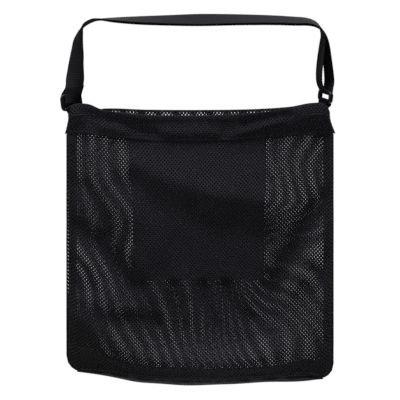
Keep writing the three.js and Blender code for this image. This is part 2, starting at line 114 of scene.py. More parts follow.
def addPiece(name, points, faces, material, slot, nodes=(), uv=None, paintedLightShade=None):
    # a mesh object from arrays, in metres, riding on the part's one body
    mesh = bpy.data.meshes.new(name)
    mesh.vertices.add(len(points))
    mesh.vertices.foreach_set("co", (points * mm).astype(np.float32).ravel())
    mesh.loops.add(faces.size)
    mesh.loops.foreach_set("vertex_index", faces.astype(np.int32).ravel())
    mesh.polygons.add(len(faces))
    mesh.polygons.foreach_set("loop_start", np.arange(0, faces.size, faces.shape[1], dtype=np.int32))
    mesh.polygons.foreach_set("use_smooth", np.ones(len(faces), bool))
    if uv is not None:
        layer = mesh.uv_layers.new(name="cloth")
        layer.data.foreach_set("uv", (uv * mm)[faces.ravel()].astype(np.float32).ravel())
    # the net's painted light and shade, stored as a point attribute for its material
    if paintedLightShade is not None:
        mesh.attributes.new("paintedLightShade", "FLOAT", "POINT").data.foreach_set("value", paintedLightShade.astype(np.float32))
    mesh.update(calc_edges=True)
    mesh.validate()
    mesh.materials.append(material)
    piece = bpy.data.objects.new(name, mesh)
    bpy.context.scene.collection.objects.link(piece)
    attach(piece, "root")
    if nodes:
        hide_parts(*nodes)
    print(name, len(points), "points,", len(faces) * (faces.shape[1] - 2), "triangles")
    return piece


def wall(surface, cloth):
    # a closed sheet: the surface pushed half its thickness each way along its normal, and a rim all round
    u, v = np.meshgrid(np.linspace(0, 1, cloth["columns"] + 1), np.linspace(0, 1, cloth["rows"] + 1))
    middle, normal = surfaceFrame(surface, u, v)
    half = normal * cloth["thickness"] / 2
    points = np.concatenate([(middle + half).reshape(-1, 3), (middle - half).reshape(-1, 3)])
    flat = stacked(u * cloth["weave"][0], v * cloth["weave"][1]).reshape(-1, 2)
    grid = np.arange(u.size).reshape(u.shape)
    quads = stacked(grid[:-1, :-1], grid[:-1, 1:], grid[1:, 1:], grid[1:, :-1]).reshape(-1, 4)
    edge = np.concatenate([grid[0, :], grid[1:, -1], grid[-1, -2::-1], grid[-2:0:-1, 0]])
    after = np.roll(edge, -1)
    rim = stacked(after, edge, edge + u.size, after + u.size)
    faces = np.concatenate([quads, quads[:, ::-1] + u.size, rim])
    return points, faces, np.concatenate([flat, flat])


# Studio: camera at the photograph's angle, a pale floor and soft light

studio = {
    "seenWidth": 560.0,  # width of the picture at the bag's middle plane
    "middleZ": -250.6,
    "distance": 2200.0,
    "sensor": 36.0,
    "floorZ": -1000.0,
    "floorRadius": 1250.0,
    "floorSides": 96,
    "ambient": 0.04,
}
lights = {  # place, aim, width, power in watts
    "overhead softbox": ((240, -510, 2250), (0, 0, -250), 1050, 75),
    "front softbox": ((-900, -2100, 400), (0, 0, -260), 1400, 6),
    "left softbox": ((-1600, -350, 1000), (0, 0, -60), 1100, 11),
    "rear softbox": ((300, 1700, 900), (0, 0, -250), 1500, 19),
}


def aimed(holder, place, target):
    direction = Vector(np.subtract(target, place))
    holder.location = np.multiply(place, mm)
    holder.rotation_euler = direction.to_track_quat("-Z", "Y").to_euler()
    bpy.context.scene.collection.objects.link(holder)
    return holder


cameraData = bpy.data.cameras.new("long lens")
cameraData.sensor_width = studio["sensor"]
cameraData.lens = studio["sensor"] * studio["distance"] / studio["seenWidth"]
camera = bpy.data.objects.new("long lens", cameraData)
aimed(camera, (0, -studio["distance"], studio["middleZ"]), (0, 0, studio["middleZ"]))
bpy.context.scene.camera = camera
for name, (place, target, width, power) in lights.items():
    lamp = bpy.data.lights.new(name, "AREA")
    lamp.size = width * mm
    lamp.energy = power
    aimed(bpy.data.objects.new(name, lamp), place, target)

world = bpy.data.worlds.new("white studio")
world.use_nodes = True
bpy.context.scene.world = world
tree = world.node_tree
tree.nodes.clear()
rays = addNode(tree, "LightPath")
backdrop = addNode(tree, "Background", {"Color": linearColour("#ffffff"), "Strength": 1.0})
roomLight = addNode(tree, "Background", {"Color": linearColour("#fafbff"), "Strength": studio["ambient"]})
choice = addNode(tree, "MixShader", {
    0: rays.outputs["Is Camera Ray"], 1: roomLight.outputs[0], 2: backdrop.outputs[0]})
addNode(tree, "OutputWorld", {"Surface": choice.outputs[0]})
bpy.context.scene.view_settings.view_transform = "Standard"
# the net's holes are a pixel wide, so they are neither smoothed away by the denoiser
# nor blurred by a wide filter
bpy.context.scene.cycles.use_denoising = False
bpy.context.scene.cycles.filter_width = 1.5


def floorPlane():
    mesh = bpy.data.meshes.new("pale floor")
    sides = studio["floorSides"]
    angle = np.arange(sides) * 2 * np.pi / sides
    disc = stacked(np.cos(angle) * studio["floorRadius"], np.sin(angle) * studio["floorRadius"],
                   np.full(sides, studio["floorZ"])) * mm
    mesh.from_pydata(disc.tolist(), [], [tuple(range(sides))])
    paper = bpy.data.materials.new("matt paper sweep")
    paper.use_nodes = True
    setInputs(paper.node_tree, paper.node_tree.nodes["Principled BSDF"], {
        "Base Color": linearColour("#c8c8ca"), "Roughness": 0.9,
        "Emission Color": linearColour("#ffffff"), "Emission Strength": 0.08})
    mesh.materials.append(paper)
    floor = bpy.data.objects.new("pale_floor", mesh)
    bpy.context.scene.collection.objects.link(floor)


floorPlane()
print("studio ready")


# Materials

def newMaterial(name, look):
    # what every material starts with: coordinates, a mix of two colours, and relief, led to one shader
    material = bpy.data.materials.new(name)
    material.use_nodes = True
    tree = material.node_tree
    coords = addNode(tree, "TexCoord").outputs
    shade = addNode(tree, "Mix", {
        6: linearColour(look["dark"]), 7: linearColour(look["light"])}, data_type="RGBA")
    bump = addNode(tree, "Bump", {"Strength": look["relief"], "Distance": look["bump"] * mm})
    shader = tree.nodes["Principled BSDF"]
    setInputs(tree, shader, {"Base Color": shade.outputs[2], "Normal": bump.outputs[0]})
    return material, tree, coords, shade, bump, shader


def waveScale(pitch):  # a wave texture repeats every 2 pi / 20 of its scaled length
    return 2 * np.pi / (pitch * mm) / 20


# one of these values sets how strongly painted light and shade change the net's colour
knit = {"dark": "#1d1e24", "light": "#27272f", "patch": 22.0, "fibre": 1.1, "paintedLightShadeStrength": 0.85,
        "bump": 0.12, "relief": 0.5}


def knittedPolyester():
    # Black warp-knitted polyester: matt, faintly blue, with a soft fuzz at grazing angles.
    material, tree, coords, shade, bump, shader = newMaterial("knitted polyester net", knit)
    patches = addNode(tree, "TexNoise", {
        "Vector": coords["Object"], "Scale": 1 / (knit["patch"] * mm), "Detail": 3.0})
    # the yarn's filaments are 0.2 mm apart, too fine to show, so they are drawn at about 1 mm
    fibres = addNode(tree, "TexNoise", {
        "Vector": coords["Object"], "Scale": 1 / (knit["fibre"] * mm),
        "Detail": 4.0, "Roughness": 0.65})
    setInputs(tree, shade, {0: patches.outputs["Fac"]})
    # painted light and shade: the yarn's colour is drawn paler where light falls on the net and a deeper
    # black where shade falls
    paintedLightShade = addNode(tree, "Attribute", attribute_name="paintedLightShade")
    paintedBrightness = addNode(tree, "Math", {
        0: paintedLightShade.outputs["Fac"], 1: knit["paintedLightShadeStrength"], 2: 1.0}, operation="MULTIPLY_ADD")
    tone = addNode(tree, "VectorMath", {
        0: shade.outputs[2], "Scale": paintedBrightness.outputs[0]}, operation="SCALE")
    dull = addNode(tree, "MapRange", {"Value": fibres.outputs["Fac"], "To Min": 0.72, "To Max": 0.95})
    setInputs(tree, bump, {"Height": fibres.outputs["Fac"]})
    setInputs(tree, shader, {
        "Base Color": tone.outputs[0], "Roughness": dull.outputs[0],
        "IOR": 1.5, "Specular IOR Level": 0.2, "Sheen Weight": 0.06, "Sheen Roughness": 0.45})
    return material


nylon = {"dark": "#17171b", "light": "#202026", "patch": 30.0, "thread": 1.2, "bump": 0.05, "relief": 0.6}


def wovenNylon():
    # Black plain-woven nylon: smoother and a little glossier than the net, with a fine square weave.
    material, tree, coords, shade, bump, shader = newMaterial("woven nylon", nylon)
    patches = addNode(tree, "TexNoise", {
        "Vector": coords["Object"], "Scale": 1 / (nylon["patch"] * mm), "Detail": 4.0})
    setInputs(tree, shade, {0: patches.outputs["Fac"]})
    # threads are 0.35 mm apart, too fine to show, so they are drawn at 1.2 mm
    warp, weft = (addNode(tree, "TexWave", {
        "Vector": coords["UV"], "Scale": waveScale(nylon["thread"]), "Distortion": 0.4},
        bands_direction=direction) for direction in ("X", "Y"))
    weave = addNode(tree, "Math", {0: warp.outputs["Fac"], 1: weft.outputs["Fac"]}, operation="MULTIPLY")
    setInputs(tree, bump, {"Height": weave.outputs[0]})
    dull = addNode(tree, "MapRange", {"Value": weave.outputs[0], "To Min": 0.62, "To Max": 0.5})
    setInputs(tree, shader, {
        "Roughness": dull.outputs[0], "IOR": 1.53, "Specular IOR Level": 0.28,
        "Sheen Weight": 0.02, "Sheen Roughness": 0.4})
    return material


webbing = {"dark": "#18181c", "light": "#212126", "patch": 14.0, "thread": 1.0, "bump": 0.06, "relief": 0.5}


def ribbedWebbing():
    # Black polyester webbing: matt ribs across, thick yarns along, slightly greyer than the net.
    material, tree, coords, shade, bump, shader = newMaterial("ribbed polyester webbing", webbing)
    patches = addNode(tree, "TexNoise", {
        "Vector": coords["Object"], "Scale": 1 / (webbing["patch"] * mm), "Detail": 4.0})
    setInputs(tree, shade, {0: patches.outputs["Fac"]})
    yarns = addNode(tree, "TexWave", {
        "Vector": coords["UV"], "Scale": waveScale(webbing["thread"]),
        "Distortion": 1.2, "Detail": 2.0}, bands_direction="X")
    setInputs(tree, bump, {"Height": yarns.outputs["Fac"]})
    dull = addNode(tree, "MapRange", {"Value": patches.outputs["Fac"], "To Min": 0.7, "To Max": 0.9})
    setInputs(tree, shader, {
        "Roughness": dull.outputs[0], "IOR": 1.5, "Specular IOR Level": 0.12,
        "Sheen Weight": 0.02, "Sheen Roughness": 0.4})
    return material


acetal = {"dark": "#131417", "light": "#2b2c30", "grain": 2.0, "scuffSize": 5.0, "bump": 0.02, "relief": 0.4}


def mouldedAcetal():
    # Black acetal from a mould: satin, a fine spark grain and faint rubbed patches.
    material, tree, coords, shade, bump, shader = newMaterial("moulded acetal", acetal)
    grain = addNode(tree, "TexNoise", {
        "Vector": coords["Object"], "Scale": 1 / (acetal["grain"] * mm), "Detail": 5.0})
    scuffs = addNode(tree, "TexNoise", {
        "Vector": coords["Object"], "Scale": 1 / (acetal["scuffSize"] * mm),
        "Detail": 6.0, "Roughness": 0.7})
    rubbed = addNode(tree, "MapRange", {
        "Value": scuffs.outputs["Fac"], "From Min": 0.55, "From Max": 0.8})
    setInputs(tree, shade, {0: rubbed.outputs[0]})
    dull = addNode(tree, "MapRange", {"Value": scuffs.outputs["Fac"], "To Min": 0.3, "To Max": 0.5})
    setInputs(tree, bump, {"Height": grain.outputs["Fac"]})
    setInputs(tree, shader, {"Roughness": dull.outputs[0], "IOR": 1.48, "Specular IOR Level": 0.5})
    return material


thread = {"dark": "#222226", "light": "#38383d", "twist": 1.0, "bump": 0.05, "relief": 0.5}


def sewingThread():
    # Black spun polyester thread: a little shinier than the cloth, with the twist of its plies.
    material, tree, coords, shade, bump, shader = newMaterial("spun polyester thread", thread)
    # the plies turn every 0.5 mm, drawn at 1 mm so that they show
    twist = addNode(tree, "TexWave", {
        "Vector": coords["Object"], "Scale": waveScale(thread["twist"]), "Distortion": 0.6},
        bands_direction="DIAGONAL")
    setInputs(tree, shade, {0: twist.outputs["Fac"]})
    setInputs(tree, bump, {"Height": twist.outputs["Fac"]})
    setInputs(tree, shader, {
        "Roughness": 0.55, "IOR": 1.5, "Specular IOR Level": 0.35, "Sheen Weight": 0.05})
    return material


netYarn = knittedPolyester()
baseNylon = wovenNylon()
strapYarn = ribbedWebbing()
fittingPlastic = mouldedAcetal()
stitchThread = sewingThread()
print("materials ready")


# The bag's body, close to the part's walls: tables in millimetres

body = {"halfWidth": 187.0, "sideEdge": 1.5, "lensPower": 3, "cornerRadius": 21.0}
depthTable = {  # depth of the two faces from the middle plane, down the centre line
    "z": [-145, -170, -215, -255, -308, -360, -395, -425, -450, -474, -492, -505],
    "front": [13.5, 13.5, 21, 23.5, 17, 13.6, 12.8, 15.5, 21.5, 26.5, 20.5, 14],
    "back": [15, 15.5, 16.5, 17.4, 18, 19, 19.6, 19.9, 19.4, 18, 15.3, 12.5],
    "seam": -500.5,  # where the bottom seam crosses the centre line
}
mouthTable = {  # rim, depth and stitch line of each hem, from the mouth's left end to its right end
    "across": [0, 0.03, 0.08, 0.14, 0.3, 0.5, 0.7, 0.85, 0.94, 0.985, 1],
    "frontRim": [-122, -117.2, -117.4, -126, -132.5, -133.5, -130.5, -123.5, -116, -119, -128],
    "frontDepth": [11, 10.8, 9.4, 12, 15.5, 17, 17, 17, 17.5, 15.5, 3],
    "frontStitch": [-158, -158, -159, -162, -167.5, -169.5, -165.5, -160, -157.5, -157.5, -157.5],
    "backRim": [-130, -130, -127, -122.2, -123.6, -124, -123, -119.5, -114, -118, -128],
    "backDepth": [2.4, 4.5, 6, 11, 15, 15, 15, 15, 16, 15.5, 3],
    "backStitch": [-158, -158, -158.5, -159.5, -161.5, -161.5, -160.5, -158.5, -157.5, -157.5, -157.5],
}
bottomTable = {  # bottom seam, and the base's fold below it
    "x": [-187, -168, -122, -76, 0, 76, 146, 170, 187],
    "seam": [-489, -489.8, -491.8, -498, -500.5, -499.2, -494.8, -499.5, -500.5],
    "fold": [-489.6, -490.8, -498.5, -506.2, -509.6, -506, -503.6, -501.5, -501.5],
}
flangeTable = {  # how far the base's edges turn up inside
    "x": [-172, -145, -110, 0, 110, 145, 172],
    "height": [34, 27, 16, 12, 13, 19, 24],
}
# folds: start x, start z, middle x, middle z, end x, end z, rise, reach
frontFolds = [
    (188, -242, 147, -289, 102, -371, -9, 15),
    (186, -279, 156, -328, 122, -397, 6, 18),
    (-184, -284, -143, -310, -92, -366, -9, 14),
    (-184, -312, -150, -348, -114, -398, 6, 17),
    (-182, -224, -150, -245, -126, -296, -6, 13),
    (-98, -226, -20, -268, 88, -294, -6, 22),
    (-84, -198, -8, -232, 88, -250, 4.3, 18),
    (-175, -391, -140, -434, -70, -474, 4.3, 16),
    (-164, -402, -125, -413, -70, -421, -4.8, 13),
    (-76, -370, -72, -398, -58, -424, -4, 8),
    (-38, -370, -36, -398, -24, -428, -4.5, 8),
    (4, -370, 10, -398, 24, -424, -4, 8),
    (38, -370, 50, -396, 70, -416, -4.5, 9),
    (176, -340, 150, -376, 110, -404, -3, 13),
    (175, -391, 140, -440, 86, -464, 4.3, 16),
]
backFolds = [
    (184, -210, 150, -265, 122, -330, -3.5, 18),
    (-184, -250, -120, -330, -60, -410, 4, 18),
    (-178, -330, -120, -400, -40, -452, -3.5, 17),
    (180, -320, 130, -400, 60, -455, 4, 18),
]
faces = {"front": {"outward": -1, "folds": frontFolds}, "back": {"outward": 1, "folds": backFolds}}


def foldRise(folds, x, z):
    # each fold is a bowed line; it lifts the cloth by a bell curve of the distance to that line
    t = np.linspace(0, 1, 48)  # points along each line
    rise = np.zeros_like(x)
    for startX, startZ, midX, midZ, endX, endZ, height, reach in folds:
        bowX = (1 - t) ** 2 * startX + 2 * t * (1 - t) * (2 * midX - (startX + endX) / 2) + t**2 * endX
        bowZ = (1 - t) ** 2 * startZ + 2 * t * (1 - t) * (2 * midZ - (startZ + endZ) / 2) + t**2 * endZ
        away = np.min((x[..., None] - bowX) ** 2 + (z[..., None] - bowZ) ** 2, axis=-1)
        rise += height * np.exp(-away / reach**2)
    return rise


def panelDepth(side, x, z):
    # a lens across the bag that closes at the side seams, deeper and shallower down the bag,
    # plus the folds; where the bottom seam rises, the lowest part of the depths rises with it
    across = np.minimum(np.abs(x) / body["halfWidth"], 1)
    rise = (bottomEdge(x) - depthTable["seam"]) * easing(-z, 395, 465)
    depth = curveThrough(depthTable["z"], depthTable[side], np.maximum(z - rise, depthTable["z"][-1]))
    free = (1 - across**8) * (1 - easing(z, -190, -165)) * easing(z, -492, -462)
    lens = body["sideEdge"] + (depth - body["sideEdge"]) * (1 - across ** body["lensPower"])
    return lens + foldRise(faces[side]["folds"], x, z) * free


def bottomEdge(x):
    radius = body["cornerRadius"]
    past = np.clip(np.abs(x) - (body["halfWidth"] - radius), 0, radius)
    return curveThrough(bottomTable["x"], bottomTable["seam"], x) + radius - np.sqrt(radius**2 - past**2)


def flangeHeight(x):
    return curveThrough(flangeTable["x"], flangeTable["height"], x)


def mouth(column, across):
    return curveThrough(mouthTable["across"], mouthTable[column], across)


# Netting: real holes in a closed lattice

def netting(surface, cloth, openShare, thickness, shifted, turned):
    # Strands run between every other point of a grid, raised on both faces. Each point between them is
    # a six-sided hole at mid thickness, joined to its four neighbours by ten triangles on each face.
    # openShare is the part of each diamond that is open.
    columns, rows = cloth["columns"], cloth["rows"]
    i, j = np.meshgrid(np.arange(columns + 1), np.arange(rows + 1))
    knots = (i + j + shifted) % 2 == 1
    border = (i == 0) | (i == columns) | (j == 0) | (j == rows)
    corners = ((i == 0) | (i == columns)) & ((j == 0) | (j == rows))
    solid = knots | corners
    count = int(solid.sum())
    index = np.full(i.shape, -1)
    index[solid] = np.arange(count)
    place, normal = surfaceFrame(surface, i / columns, j / rows)
    lift = normal * (thickness(i / columns, j / rows) / 2)[..., None]
    if turned:
        lift = -lift
    holeJ, holeI = np.nonzero(~knots & ~border)
    east, west = place[holeJ, holeI + 1], place[holeJ, holeI - 1]
    north, south = place[holeJ + 1, holeI], place[holeJ - 1, holeI]
    middle = (east + west + north + south) / 4
    angle = np.arange(6) * np.pi / 3
    share = openShare(holeI / columns, holeJ / rows)[:, None, None]
    ring = (middle[:, None] + share * np.cos(angle)[:, None] * ((east - west) / 2)[:, None]
            + share * np.sin(angle)[:, None] * ((north - south) / 2)[:, None])
    points = np.concatenate([(place + lift)[solid], (place - lift)[solid], ring.reshape(-1, 3)])
    e, w = index[holeJ, holeI + 1], index[holeJ, holeI - 1]
    n, s = index[holeJ + 1, holeI], index[holeJ - 1, holeI]
    h = 2 * count + np.arange(len(holeI))[:, None] * 6 + np.arange(6)
    h0, h1, h2, h3, h4, h5 = h.T
    ringFaces = [(e, n, h1), (e, h1, h0), (n, h2, h1), (n, w, h2), (w, h3, h2),
                 (w, s, h4), (w, h4, h3), (s, h5, h4), (s, e, h5), (e, h0, h5)]
    # half holes along the border are filled
    halves = []
    for onEdge, trio in (
        ((i == 0), ((0, -1), (1, 0), (0, 1))), ((i == columns), ((0, 1), (-1, 0), (0, -1))),
        ((j == 0), ((1, 0), (0, 1), (-1, 0))), ((j == rows), ((-1, 0), (0, -1), (1, 0))),
    ):
        edgeJ, edgeI = np.nonzero(onEdge & ~knots & ~corners)
        halves.append(tuple(index[edgeJ + dj, edgeI + di] for di, dj in trio))
    for cj, ci, dj, di in ((0, 0, 1, 1), (0, columns, 1, -1), (rows, 0, -1, 1), (rows, columns, -1, -1)):
        if not knots[cj, ci]:
            trio = (index[cj, ci], index[cj, ci + di], index[cj + dj, ci])
            trio = trio if di * dj > 0 else (trio[0], trio[2], trio[1])
            halves.append(tuple(np.array([k]) for k in trio))
    top = np.concatenate([stacked(*f) for f in ringFaces + halves])
    under = np.where(top < count, top + count, top)[:, ::-1]
    edges = np.concatenate([top[:, [0, 1]], top[:, [1, 2]], top[:, [2, 0]]])
    edges = edges[(edges < count).all(axis=1)]
    codes = edges[:, 0] * count + edges[:, 1]
    loose = edges[~np.isin(codes, edges[:, 1] * count + edges[:, 0])]
    a, b = loose.T
    rim = np.concatenate([stacked(b, a, a + count), stacked(b, a + count, b + count)])
    allFaces = np.concatenate([top, under, rim])
    return points, allFaces[:, ::-1] if turned else allFaces


net = {
    "columns": 152, "rows": 126,  # in steps of half a diamond, which is about 4.9 by 5.5 mm
    "hole": 0.45,  # share of the diamond that is open
    "openLeft": 1.5, "openRight": 1.05, "openBase": 1.35,  # wider beside the side seams and over the base
    "drawn": 0.5, "drawnCorner": 0.3, "drawnSeam": 0.6,  # narrower at the seams' ends, corners and edges
    "thickness": 0.7, "pressed": 0.3,  # where the net is free, and where it is pressed on the base's edge
    "hemTuck": 9.0,
    "sag": 15.0,  # how far the rows of diamonds hang down left of the middle
    "outOfStep": 0.265, "drift": 0.19,  # how far the back net lies out of step and wanders, in half pitches
    "seamClosing": 0.8,  # how far each net comes in at the side seam, over its last 3 mm
}


def netPlace(u, v):
    # place in the sheet before the drift: columns are even,
    # rows run from the hem to the bottom seam and sag
    x = body["halfWidth"] * (2 * u - 1)
    across = np.abs(2 * u - 1)
    top = mouth("frontStitch", u) + mix(net["hemTuck"], -1, across**10)
    bottom = bottomEdge(x)
    sag = (net["sag"] * np.exp(-(((x + 105) / 80) ** 2))
           + 0.35 * net["sag"] * np.exp(-(((x - 20) / 90) ** 2)))
    lowered = v + sag / (top - bottom) * 4 * v * (1 - v) * (1 - across**6)
    return x, mix(top, bottom, lowered), across


def netFree(u, v):
    # 1 where the net hangs free, 0 where it is pulled flat over the base's turned-up edge
    x, z, _ = netPlace(u, v)
    return easing(z - (bottomEdge(x) + flangeHeight(x)), -3, 5)


def netOpen(u, v):
    # holes are pulled open beside the side seams and over the base's edge,
    # and drawn together at the ends of the side seams and in the corners
    fromSide = np.minimum(u, 1 - u) * 2 * body["halfWidth"]
    right = easing(u, 0.4, 0.6)
    low = mix(easing(v, 0.66, 0.76), easing(v, 0.84, 0.9), right)
    high = 1 - easing(v, 0.03, 0.07)
    drawn = mix(mix(net["openLeft"], net["openRight"], right), net["drawn"], low + high)
    beside = mix(drawn, 1, easing(fromSide, 10, 16))
    over = mix(net["drawnCorner"], net["openBase"], easing(fromSide, 15, 19))
    atSeam = mix(net["drawnSeam"], 1, easing(fromSide, 0, 5))
    return net["hole"] * mix(over, beside, netFree(u, v)) * atSeam


def netThickness(u, v):
    return mix(net["pressed"], net["thickness"], netFree(u, v))


def ripple(x, z):
    # slack in the net: short shallow waves that lean like the folds
    return (0.55 * np.sin(x / 9.5 + 0.9 * np.sin(z / 31)) * np.sin(z / 43 + 1)
            + 0.45 * np.sin((x + z) / 13 + np.sin(x / 40)) + 0.35 * np.sin((x - 1.3 * z) / 17))


def backRipple(x, z):
    return 0.7 * ripple(-x, z + 40)


def netDepth(side, x, z, across, slack):
    # the panel's depth, with slack where the net is loose, closing towards the other net at the side seams
    loose = (1 - across**6) * (1 - easing(z, -185, -165)) * easing(z, -495, -470)
    return panelDepth(side, x, z) + slack * loose - net["seamClosing"] * easing(across, 0.984, 1)


def acrossStreaks(x, z):
    # the measure across the streaks: upright lines that lean in at the left,
    # and arcs round the belly at the right
    down = np.clip(-150 - z, 0, None)
    leaning = 0.5 - 0.5 * np.tanh((x - 40) / 130)
    upright = x - leaning * (0.1 * down + 0.0007 * down**2)
    arcs = np.hypot(x - 30, z + 530)
    return upright + easing(x, 0, 100) * easing(-z, 250, 340) * (arcs - upright)


def wander(x, z):
    # how far the back net lies from standing behind the holes: narrow waves along the streaks
    # that come and go, weaker in the quiet middle, low down and in the bottom left corner
    bends = (1.7 * np.sin(z / 24 + x / 38) + 1.5 * np.sin(x / 25 - z / 35 + 1)
             + 1.2 * np.sin(x / 60 + z / 15))
    straighter = 1 - 0.4 * easing(-z, 330, 400) * easing(-x, -20, 60)
    wave = np.sin(acrossStreaks(x, z) / 3.6 + bends * straighter)
    strength = 0.62 + 0.38 * np.sin(x / 27 - z / 31 + 1.3 * np.sin(z / 53)) * np.sin(z / 29 + x / 61 + 1)
    quiet = 0.25 * np.exp(-((x / 75) ** 2) - ((z + 392) / 42) ** 2)
    hidden = 0.08 * foldRise(frontFolds, x, z)
    low = 0.14 * easing(-z, 320, 380)
    even = easing(x, 50, 120)
    leftCorner = easing(-x, 105, 172) * easing(-z, 392, 425)
    away = (net["outOfStep"] * (1 + 0.08 * even - quiet - low + np.clip(hidden, -0.6, 0.1))
            + net["drift"] * (1 - 0.25 * even) * wave * strength)
    return away * (1 - 0.75 * leftCorner)


def frontSurface(u, v):
    x, z, across = netPlace(u, v)
    return stacked(x, -netDepth("front", x, z, across, ripple(x, z)), z)


def backSurface(u, v):
    # The back net follows the front one, seen along the camera's line, so that its strands stand behind
    # the holes; narrow waves carry it out of step, and the holes line up in streaks.
    x, z, across = netPlace(u, v)
    inside = (1 - across**40) * np.clip(30 * v, 0, 1) * np.clip(28 * (1 - v), 0, 1)
    apart = (panelDepth("front", x, z) + panelDepth("back", x, z)) / studio["distance"]
    halfPitch = 2 * body["halfWidth"] / net["columns"]
    x, z = (x + inside * (x * apart + halfPitch * wander(x, z)),
            z + inside * (z - studio["middleZ"]) * apart)
    z = z + (mouth("backStitch", u) - mouth("frontStitch", u)) * np.clip(1 - 30 * v, 0, 1)
    return stacked(x, netDepth("back", x, z, across, backRipple(x, z)), z)


paintedLightShadeSpots = [  # x, z, reach in x, reach in z, how much paler: painted light on the belly and the left fold, painted shade under the pocket
    (10, -468, 80, 22, 1),
    (-145, -388, 26, 18, 1.3),
    (-45, -428, 75, 24, -0.4),
]


def netPaintedLightShade(points):
    # painted light and shade: bell curves round the spots lighten the net on the belly and the left fold and
    # darken it under the pocket, and painted shade gives a deeper black in the two bottom corners, more so
    # at the left
    x, z = points[:, 0], points[:, 2]
    # painted shade in the two bottom corners
    corners = easing(-0.7 * x - z, 490, 575) + 0.7 * easing(x - 0.8 * z, 500, 560)
    return sum(paintedBrightness * np.exp(-(((x - spotX) / reachX) ** 2) - ((z - spotZ) / reachZ) ** 2)
               for spotX, spotZ, reachX, reachZ, paintedBrightness in paintedLightShadeSpots) - corners


netSurfaces = {"front": frontSurface, "back": backSurface}
for shifted, (side, surface) in enumerate(netSurfaces.items()):
    points, tris = netting(surface, net, netOpen, netThickness, shifted, side == "front")
    # the net's colour carries painted light and shade through a point attribute
    addPiece(side + "_net", points, tris, netYarn, "knitted_mesh", [side + "_panel"],
                         paintedLightShade=netPaintedLightShade(points))


# Hems: the net folded over the mouth's rim, one leaf outside and one inside

hem = {
    "columns": 154, "rows": 31,  # an odd number, so that each leaf's strands lie behind the other's holes
    "leafGap": 1.3, "sewnGap": 0.8, "thickness": 0.4, "hole": {"front": 0.33, "back": 0.45},
    "rimRows": 2.5, "rimRowShare": 0.15,  # rows beside the rim and how close they are
    "standOff": 0.7, "endDepth": 0.5, "endPower": 60, "seamPower": 150,
    "rimShare": 0.3,  # share of the height that stands straight below the rim
    "flare": 2.6,  # how far the rim rolls outwards
    "turn": 0.04,  # share of the band that goes round the rim
    "drift": {"front": 0.0, "back": 0.75},  # the back's inner leaf lies out of step, in half pitches
    "driftWave": 48.0,  # so its holes line up every 24 mm
}
hemFolds = [  # soft folds across the front band, as in the panels
    (-160, -128, -108, -143, -56, -166, -3.2, 8),
    (-136, -146, -122, -152, -106, -156, 2.2, 8),
    (-46, -156, -12, -160, 22, -156, 2.6, 9),
    (44, -162, 78, -150, 112, -138, 2.4, 8),
    (62, -144, 92, -136, 122, -128, -2.6, 7),
    (124, -152, 148, -148, 172, -148, 2, 8),
]
hemEnds = {  # x of the band's two ends, from the rim to the stitch line
    "down": [0, 0.35, 0.7, 1],
    "left": [-185, -184, -186.2, -189],
    "right": [181.5, 182.5, 186, 189.5],
}


def hemMiddle(side, u, down):
    # depth runs from the mouth's depth at the rim to the panel's at the stitch line,
    # so the band flares below
    left, right = (curveThrough(hemEnds["down"], hemEnds[end], down) for end in ("left", "right"))
    x = mix(left, right, u)
    z = mix(mouth(side + "Rim", u), mouth(side + "Stitch", u), down)
    closing = 1 - np.abs(2 * u - 1) ** hem["endPower"]
    sewn = mix(hem["endDepth"], panelDepth(side, x, mouth(side + "Stitch", u)) + hem["standOff"], closing)
    depth = mix(mouth(side + "Depth", u), sewn, easing(down, hem["rimShare"], 1))
    inner = np.clip(6 * u, 0, 1) * np.clip(6 * (1 - u), 0, 1)
    roll = hem["flare"] * (1 - easing(down, 0, 0.35))
    midBand = np.sin(np.pi * down)
    creases = (0.8 * np.sin(x / 11 + z / 9) * np.sin(x / 37 + 1) + 0.5 * np.sin(x / 17 - z / 7)) * midBand
    if side == "front":
        creases = creases + foldRise(hemFolds, x, z) * np.sqrt(midBand)
    # the two bands meet in the side seam
    joining = np.abs(2 * u - 1) ** hem["seamPower"] * easing(down, 0, 0.1)
    return x, mix(depth + inner * (roll + creases), hem["endDepth"], joining), z


def hemOpen(side):
    def share(u, w):
        # holes close at the folded rim, at the sewn edges and at both ends
        fromRim = np.abs(w - 0.5) * hem["rows"]
        fromEdge = np.minimum(np.minimum(w, 1 - w) * hem["rows"], np.minimum(u, 1 - u) * hem["columns"]) + 1
        steps = np.minimum(fromRim, fromEdge)
        return hem["hole"][side] * mix(0.1, 1, easing(steps, 1.2, 2.6))
    return share


def hemThickness(u, w):
    return np.full_like(u, hem["thickness"])


def hemSurface(side):
    def surface(u, w):
        # w goes up the outer leaf, round the rim and down the inner leaf,
        # and its rows crowd together at the rim, which makes a solid rolled edge
        away = np.abs(w - 0.5) * hem["rows"]
        leafRows = hem["rows"] / 2
        crowded = np.minimum(away, hem["rimRows"]) * hem["rimRowShare"]
        spread = np.maximum(away - hem["rimRows"], 0) * (leafRows - hem["rimRows"] * hem["rimRowShare"])
        away = (crowded + spread / (leafRows - hem["rimRows"])) / hem["rows"]
        w = 0.5 + np.sign(w - 0.5) * away
        down = 2 * away
        angle = np.pi * np.clip((w - 0.5 + hem["turn"] / 2) / hem["turn"], 0, 1)
        x, depth, z = hemMiddle(side, u, down)
        halfPitch = 2 * body["halfWidth"] / hem["columns"]
        aside = hem["drift"][side] * np.sin(2 * np.pi * x / hem["driftWave"] + z / 9)
        x = x + easing(w, 0.5, 0.56) * np.clip(12 * np.minimum(u, 1 - u), 0, 1) * aside * halfPitch
        gap = mix(hem["leafGap"], hem["sewnGap"], easing(down, 0.75, 1)) / 2
        gap = gap * (1 - 0.5 * np.abs(2 * u - 1) ** hem["seamPower"])
        depth = depth + gap * np.cos(angle)
        return stacked(x, faces[side]["outward"] * depth, z + gap * np.sin(angle))
    return surface


